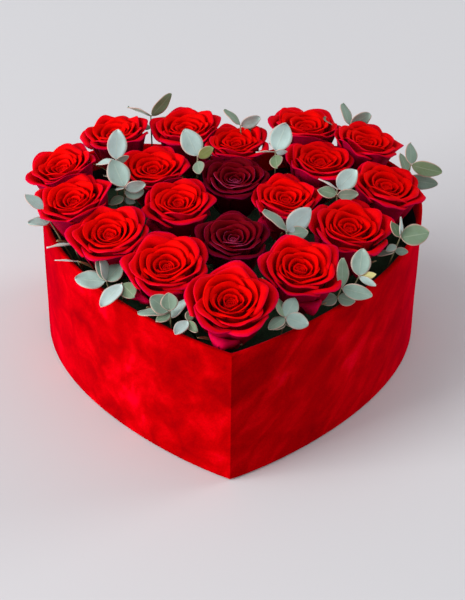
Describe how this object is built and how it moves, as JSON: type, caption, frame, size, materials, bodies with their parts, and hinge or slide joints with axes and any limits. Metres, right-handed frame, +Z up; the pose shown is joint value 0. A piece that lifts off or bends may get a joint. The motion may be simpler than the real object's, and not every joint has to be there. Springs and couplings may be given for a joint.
{
  "type": "flower box",
  "caption": "Heart-shaped velvet-covered gift box with a loose wet-foam insert of cut roses and eucalyptus sprigs, its blooms standing just above the rim.",
  "frame": {"origin": "middle of the flat underside, halfway across the heart and halfway from tip to lobes", "axes": "+X to the right, +Y from the heart's tip towards its notch, +Z up"},
  "size_m": [0.3217, 0.2784, 0.1816],
  "materials": {
    "red_velvet": "matte",
    "greyboard": "matte",
    "black_paper": "matte",
    "base_paper": "matte",
    "tray_plastic": "satin",
    "floral_foam": "matte",
    "red_petal": "satin",
    "burgundy_petal": "satin",
    "rose_stem": "satin",
    "eucalyptus_leaf": "matte"
  },
  "bodies": {
    "box": {"wall_board": "greyboard", "base_board": "greyboard", "base_sheet": "base_paper", "velvet_cover": "red_velvet", "inner_lining": "black_paper"},
    "insert": {"liner_tray": "tray_plastic", "foam_block": "floral_foam", "rose_01_head": "red_petal", "rose_02_head": "red_petal", "rose_03_head": "red_petal", "rose_04_head": "red_petal", "rose_05_head": "red_petal", "rose_06_head": "red_petal", "rose_07_head": "red_petal", "rose_08_head": "burgundy_petal", "rose_09_head": "red_petal", "rose_10_head": "red_petal", "rose_11_head": "red_petal", "rose_12_head": "burgundy_petal", "rose_13_head": "red_petal", "rose_14_head": "red_petal", "rose_15_head": "red_petal", "rose_16_head": "red_petal", "rose_17_head": "red_petal", "rose_18_head": "red_petal", "rose_19_head": "red_petal", "rose_01_stem": "rose_stem", "rose_02_stem": "rose_stem", "rose_03_stem": "rose_stem", "rose_04_stem": "rose_stem", "rose_05_stem": "rose_stem", "rose_06_stem": "rose_stem", "rose_07_stem": "rose_stem", "rose_08_stem": "rose_stem", "rose_09_stem": "rose_stem", "rose_10_stem": "rose_stem", "rose_11_stem": "rose_stem", "rose_12_stem": "rose_stem", "rose_13_stem": "rose_stem", "rose_14_stem": "rose_stem", "rose_15_stem": "rose_stem", "rose_16_stem": "rose_stem", "rose_17_stem": "rose_stem", "rose_18_stem": "rose_stem", "rose_19_stem": "rose_stem", "eucalyptus_01": "eucalyptus_leaf", "eucalyptus_02": "eucalyptus_leaf", "eucalyptus_03": "eucalyptus_leaf", "eucalyptus_04": "eucalyptus_leaf", "eucalyptus_05": "eucalyptus_leaf", "eucalyptus_06": "eucalyptus_leaf", "eucalyptus_07": "eucalyptus_leaf", "eucalyptus_08": "eucalyptus_leaf", "eucalyptus_09": "eucalyptus_leaf", "eucalyptus_10": "eucalyptus_leaf", "eucalyptus_11": "eucalyptus_leaf", "eucalyptus_12": "eucalyptus_leaf", "eucalyptus_13": "eucalyptus_leaf", "eucalyptus_14": "eucalyptus_leaf", "eucalyptus_15": "eucalyptus_leaf"}
  },
  "joints": [
    {"name": "insert_lift", "type": "slide", "parent": "box", "child": "insert", "axis": [0, 0, 1], "range_m": [0, 0.125]}
  ]
}
